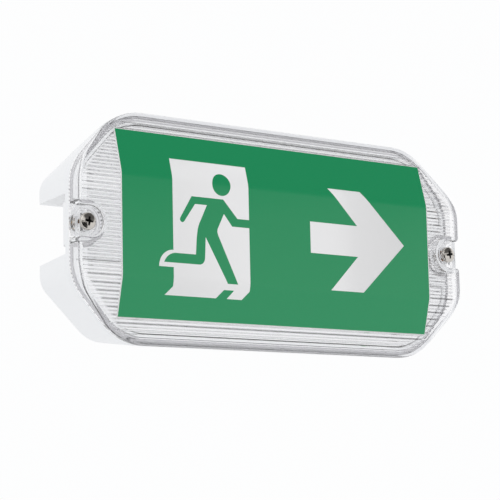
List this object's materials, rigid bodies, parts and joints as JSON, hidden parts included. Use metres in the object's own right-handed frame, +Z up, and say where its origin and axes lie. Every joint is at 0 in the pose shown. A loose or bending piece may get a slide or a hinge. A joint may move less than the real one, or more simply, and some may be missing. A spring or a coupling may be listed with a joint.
{
  "type": "emergency exit light",
  "caption": "Weatherproof wall-mounted exit light: white base with recessed ends, ribbed clear cover and a green running-figure and arrow legend.",
  "frame": {"origin": "centre of the flat back face that lies against the wall, midway between the two wall fixing holes", "axes": "+Y points into the wall and the lit front faces -Y; +X runs along the length of the light; +Z is up"},
  "size_m": [0.229, 0.0487, 0.108],
  "materials": {
    "white_plastic": "moulded white polycarbonate",
    "clear_plastic": "clear moulded polycarbonate with reeding",
    "green_film": "printed self-adhesive film",
    "white_film": "unprinted self-adhesive film",
    "pale_silicone": "soft pale silicone",
    "plated_steel": "bright nickel plate",
    "brass_inserts": "turned brass",
    "white_steel": "white powder coat",
    "white_board": "white circuit board",
    "lamp_phosphor": "lamp phosphor",
    "green_lens": "tinted lens",
    "green_board": "circuit board",
    "dark_ferrite": "sintered ferrite",
    "amber_winding": "polyester tape",
    "black_sleeve": "shrink sleeve",
    "black_plastic": "moulded",
    "cell_sleeve": "shrink sleeve"
  },
  "bodies": {
    "root": {"base_housing": "white_plastic", "sealing_gasket": "pale_silicone", "diffuser": "clear_plastic", "legend_sheet": "green_film", "cover_screw_left": "plated_steel", "cover_screw_right": "plated_steel", "threaded_inserts": "brass_inserts", "entry_plug_left": "white_plastic", "entry_plug_right": "white_plastic", "plug_locknuts": "white_plastic", "fixing_seals": "pale_silicone", "gear_tray": "white_steel", "tray_screws": "plated_steel", "lamp_board_upper": "white_board", "lamp_board_lower": "white_board", "lamp_chips": "lamp_phosphor", "charge_lamp": "green_lens", "control_board": "green_board", "board_screws": "plated_steel", "transformer_core": "dark_ferrite", "transformer_coil": "amber_winding", "capacitors": "black_sleeve", "control_chips": "black_plastic", "terminal_block": "white_plastic", "terminal_screws": "plated_steel", "battery_cell_1": "cell_sleeve", "battery_cell_2": "cell_sleeve", "battery_cell_3": "cell_sleeve", "battery_clips": "black_plastic"}
  },
  "joints": []
}
